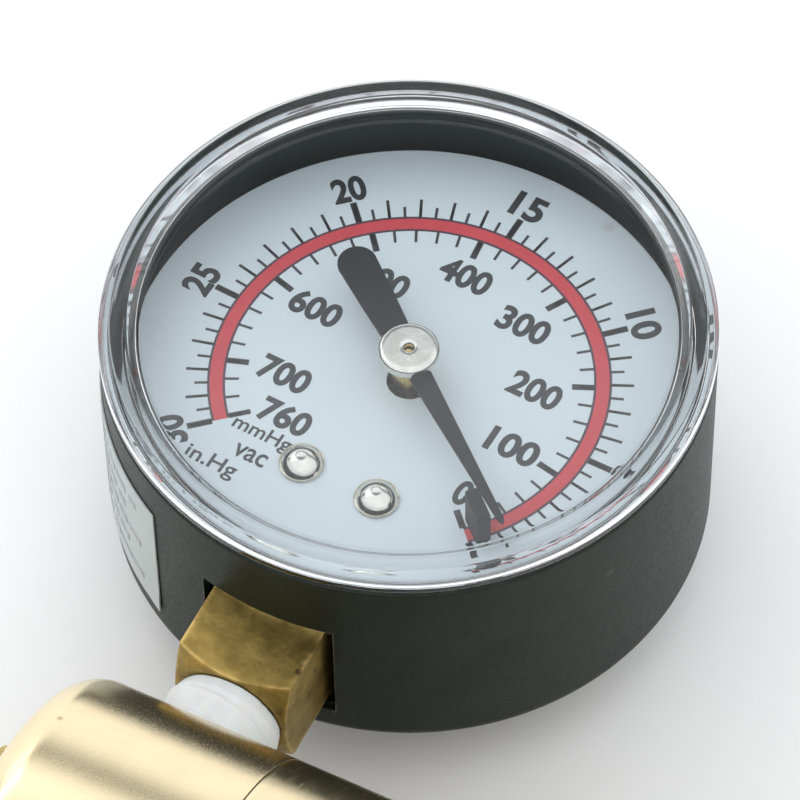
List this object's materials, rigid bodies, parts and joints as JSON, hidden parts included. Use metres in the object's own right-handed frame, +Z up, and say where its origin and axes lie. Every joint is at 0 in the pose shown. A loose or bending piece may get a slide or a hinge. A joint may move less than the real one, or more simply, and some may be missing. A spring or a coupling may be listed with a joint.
{
  "type": "hand vacuum pump",
  "caption": "Pistol-grip hand vacuum pump with a round dial gauge on a threaded stem, a hose nipple, a release knob and a squeeze lever.",
  "frame": {"origin": "centre of the bounding box at the surface the pump lies on", "axes": "+X along the barrel from the hose end to the handles, +Y from the barrel towards the gauge, +Z up, out of the dial"},
  "size_m": [0.2106, 0.194, 0.033],
  "materials": {
    "gold_metal": "satin anodised, champagne gold",
    "brass": "machined, slightly aged",
    "rubber": "matt",
    "nylon": "moulded",
    "steel": "bright zinc",
    "nickel": "bright nickel plate",
    "case_paint": "satin black paint on steel",
    "pointer_paint": "matt black paint on aluminium",
    "lens_plastic": "clear moulded plastic",
    "dial_paint": "white enamel with printed scales",
    "label_paper": null,
    "thread_tape": "white thread-seal tape, wound",
    "vinyl": "dipped vinyl, satin black"
  },
  "bodies": {
    "pump_body": {"bourdon_tip": "brass", "bourdon_tube": "brass", "case_screw_1": "steel", "case_screw_2": "steel", "dial_screw_1": "nickel", "dial_screw_2": "nickel", "frame_screw_1": "steel", "frame_screw_2": "steel", "frame_screw_3": "steel", "frame_screw_4": "steel", "gauge_case": "case_paint", "gauge_dial": "dial_paint", "gauge_label": "label_paper", "gauge_lens": "lens_plastic", "gauge_socket": "brass", "hairspring": "brass", "handle_grip": "vinyl", "head_oring": "rubber", "hose_nipple": "brass", "inlet_valve": "rubber", "inlet_valve_ring": "brass", "lever_pin": "steel", "movement_back_plate": "brass", "movement_front_plate": "brass", "movement_pillar_1": "brass", "movement_pillar_2": "brass", "pin_clip": "steel", "pump_barrel": "gold_metal", "pump_frame": "gold_metal", "pump_head": "gold_metal", "release_cap": "brass", "release_spring": "steel", "return_spring": "steel", "rod_bush": "brass", "rod_guide": "nylon", "thread_tape": "thread_tape", "zero_stop": "pointer_paint"},
    "lever_arm": {"lever": "gold_metal", "lever_grip": "vinyl"},
    "piston_assembly": {"piston_rod": "steel", "piston": "nylon", "piston_seal": "rubber", "exhaust_valve": "rubber", "piston_screw": "steel", "cross_pin": "steel"},
    "release_plunger": {"release_knob": "brass", "release_seal": "rubber"},
    "pointer_assembly": {"pinion_shaft": "brass", "gauge_pointer": "pointer_paint", "pointer_hub": "nickel"},
    "sector": {"sector_gear": "brass"},
    "link_bar": {"link": "steel"}
  },
  "joints": [
    {"name": "lever_squeeze", "type": "hinge", "parent": "pump_body", "child": "lever_arm", "pos_m": [0.02419, 0.04118, 0.0165], "axis": [0, 0, 1], "range_deg": [0, 36]},
    {"name": "piston_stroke", "type": "slide", "parent": "pump_body", "child": "piston_assembly", "axis": [1, 0, 0], "range_m": [0, 0.0157], "stiffness_N_per_m": 900, "springref_m": -0.012, "deforming": ["return_spring"]},
    {"name": "release_pull", "type": "slide", "parent": "pump_body", "child": "release_plunger", "axis": [0, -1, 0], "range_m": [0, 0.002], "stiffness_N_per_m": 400, "springref_m": -0.004, "deforming": ["release_spring"]},
    {"name": "sector_swing", "type": "hinge", "parent": "pump_body", "child": "sector", "pos_m": [-0.07183, 0.08127, 0.0153], "axis": [0, 0, 1], "range_deg": [-25.9, 0], "stiffness_Nm_per_rad": 0.002, "springref_deg": 2.86},
    {"name": "pointer_turn", "type": "hinge", "parent": "pump_body", "child": "pointer_assembly", "pos_m": [-0.07244, 0.07048, 0.0223], "axis": [0, 0, 1], "range_deg": [0, 259.1]},
    {"name": "link_pivot", "type": "hinge", "parent": "sector", "child": "link_bar", "pos_m": [-0.06701, 0.07996, 0.01585], "axis": [0, 0, 1], "range_deg": [0, 25.9]}
  ],
  "couplings": [
    {"joint": "piston_stroke", "follows": "lever_squeeze", "m_per_rad": 0.0248},
    {"joint": "pointer_turn", "follows": "sector_swing", "ratio": -10},
    {"joint": "link_pivot", "follows": "sector_swing", "ratio": -1}
  ]
}
